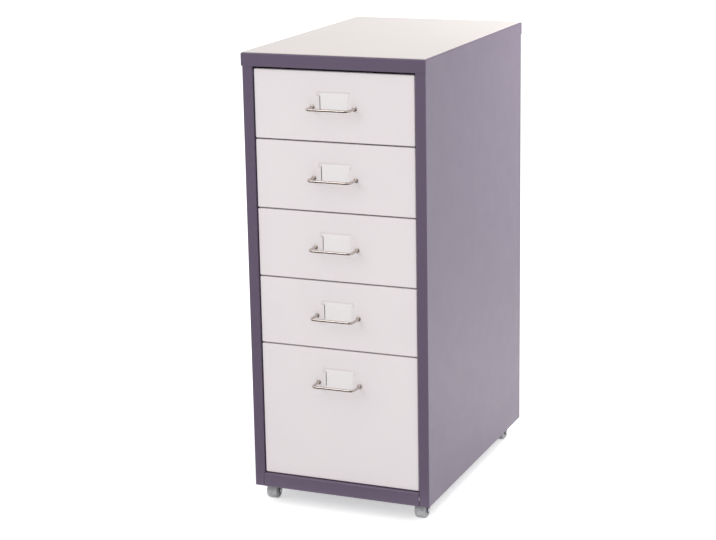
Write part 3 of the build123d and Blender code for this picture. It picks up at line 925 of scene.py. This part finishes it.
def cross_recess(seat, out, across):
    """Closed cross-shaped shell that cuts the recess of a screw."""
    beside = out.cross(across)
    arm, half = RECESS_ARM, RECESS_HALF
    plus = [(arm, half), (half, half), (half, arm), (-half, arm), (-half, half), (-arm, half)]
    plus += [(-u, -v) for u, v in plus]
    levels = (SCREW_HEAD_HEIGHT - RECESS_DEPTH, SCREW_HEAD_HEIGHT * 1.2)
    points = [seat + out * level + across * u + beside * v for level in levels for u, v in plus]
    return points, grid_faces(2, len(plus)) + close_ends(points, len(plus))


def make_pan_screws(name, node, seats, axis):
    """Pan screws with cross recesses, their heads on the side of the seats that the axis points to."""
    profile = [(0, -SCREW_SHANK), (SCREW_RADIUS, -SCREW_SHANK), (SCREW_RADIUS, 0)]
    profile += dome(SCREW_HEAD, 0, SCREW_HEAD_HEIGHT, SCREW_HEAD_SHAPE)
    heads = [lathe(profile, seat, axis, 32, False) for seat in seats]
    recesses = [cross_recess(Vector(seat), Vector(axis), Vector((1, 0, 0))) for seat in seats]
    mesh = finish_mesh(name, [], start=cut_mesh(finish_mesh("heads", heads), recesses))
    add_piece(name, mesh, "carcass", "zinc", node)


def make_screws():
    """The screws under the caster plates and those of the back panel."""
    seats = []
    for corner in CORNERS:
        low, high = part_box(f"caster_plate_{corner}")
        x, y = (low.x + high.x) / 2, (low.y + high.y) / 2
        offsets = (-CASTER_HOLE, CASTER_HOLE)
        seats += [(x + right, y + back, high.z - PLATE_THICK) for right in offsets for back in offsets]
    make_pan_screws("plate_screws", "caster_screws", seats, (0, 0, -1))
    low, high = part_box("panel_screws")
    heights = (low.z + SCREW_HEAD, (low.z + high.z) / 2, high.z - SCREW_HEAD)
    column_x = high.x - SCREW_HEAD
    seats = [(x, high.y - SCREW_HEAD_HEIGHT, z) for x in (-column_x, column_x) for z in heights]
    make_pan_screws("back_screws", "panel_screws", seats, (0, 1, 0))


# ---------------------------------------------------------------- stage
FLOOR_SIZE = 14


def make_floor():
    """Plain pale floor."""
    half = FLOOR_SIZE / 2
    points = [(-half, -half, 0), (half, -half, 0), (half, half, 0), (-half, half, 0)]
    mesh = bpy.data.meshes.new("floor")
    mesh.from_pydata(points, [], [(0, 1, 2, 3)])
    mesh.materials.append(FLOOR)
    floor = bpy.data.objects.new("floor", mesh)
    bpy.context.scene.collection.objects.link(floor)


# Painted reflection: a dark glowing sheet that only mirrors see, so that the chrome shows a dark line under
# each bar
PAINTED_REFLECTION_CARD_HALF = 3.2
PAINTED_REFLECTION_CARD_COLOR = srgb(84, 70, 64)
# (y, z) from beside the cabinet, along the floor towards the viewer, and up
PAINTED_REFLECTION_CARD = [(-0.27, 0.002), (-3.4, 0.002), (-3.7, 0.12), (-3.8, 0.4), (-3.8, 1.5)]


def make_painted_reflection_card():
    """Painted reflection: a dark glowing sheet low in front of the cabinet, which only mirrors see: it draws
    the dark line under a bar.
    """
    material = bpy.data.materials.new("painted_reflection_card")
    material.use_nodes = True
    nodes = material.node_tree.nodes
    nodes.remove(nodes["Principled BSDF"])
    # the sheet glows its own dark colour, a painted reflection rather than lit paper
    glow = nodes.new("ShaderNodeEmission")
    glow.inputs["Color"].default_value = (*PAINTED_REFLECTION_CARD_COLOR, 1)
    material.node_tree.links.new(glow.outputs[0], nodes["Material Output"].inputs["Surface"])
    points = [(side * PAINTED_REFLECTION_CARD_HALF, y, z) for y, z in PAINTED_REFLECTION_CARD for side in (-1, 1)]
    mesh = bpy.data.meshes.new("painted_reflection_card")
    strips = [(k, k + 1, k + 3, k + 2) for k in range(0, 2 * len(PAINTED_REFLECTION_CARD) - 2, 2)]
    mesh.from_pydata(points, [], strips)
    mesh.materials.append(material)
    card = bpy.data.objects.new("painted_reflection_card", mesh)
    bpy.context.scene.collection.objects.link(card)
    for kind in ("camera", "diffuse", "transmission", "shadow", "volume_scatter"):
        setattr(card, f"visible_{kind}", False)


make_camera()
make_world()
make_painted_reflection_card()
make_lamp("key", KEY_PLACE, KEY_AIM, KEY_SIZE, KEY_POWER)
make_lamp("side_light", SIDE_PLACE, SIDE_AIM, SIDE_SIZE, SIDE_POWER, False)
make_floor()
dress_nodes()
for number in DRAWERS:
    make_front(number)
    make_tray(number)
    make_handle(number)
    make_nuts(number)
for corner in CORNERS:
    make_wheel(corner)
    make_axle(corner)
    make_fork(corner)
    make_plate(corner)
make_screws()

bpy.context.scene.view_settings.view_transform = "Standard"
